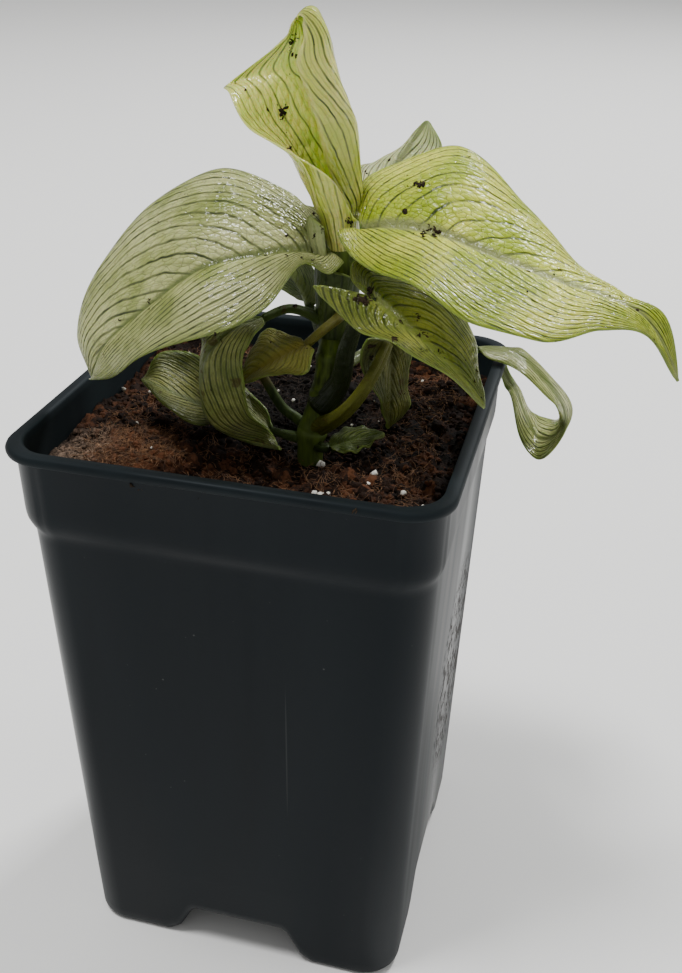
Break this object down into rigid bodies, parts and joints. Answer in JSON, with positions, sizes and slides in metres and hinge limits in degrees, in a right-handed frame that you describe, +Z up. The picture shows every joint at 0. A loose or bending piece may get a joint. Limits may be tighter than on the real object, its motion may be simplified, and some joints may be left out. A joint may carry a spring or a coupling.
{
  "type": "potted dieffenbachia plant",
  "caption": "Young variegated foliage plant with broad arching leaves, rooted in the soil of a deep square nursery pot that stands on corner feet.",
  "frame": {"origin": "bottom centre of the whole plant's box, on the ground under the pot", "axes": "+Z up along the pot's height, -Y towards the side the picture shows, +X to the right"},
  "size_m": [0.1438, 0.103, 0.2415],
  "materials": {
    "pot_plastic": "satin",
    "soil": "matte",
    "stem": "satin",
    "leaf_milky": "satin",
    "leaf_lime": "satin",
    "leaf_silver": "satin",
    "leaf_deep": "satin",
    "leaf_faded": "satin"
  },
  "bodies": {
    "root": {"pot": "pot_plastic", "soil": "soil", "stem": "stem", "leaf_large_left": "leaf_milky", "leaf_large_right": "leaf_lime", "leaf_rolled_top": "leaf_lime", "leaf_back": "leaf_silver", "leaf_front_small": "leaf_lime", "leaf_drooping": "leaf_milky", "leaf_low_left": "leaf_milky", "leaf_yellowing": "leaf_faded", "leaf_hanging_right": "leaf_faded", "leaf_low_right": "leaf_deep", "leaf_over_rim": "leaf_milky", "leaf_hidden_left": "leaf_deep", "stalk_bare": "leaf_deep"}
  },
  "joints": []
}
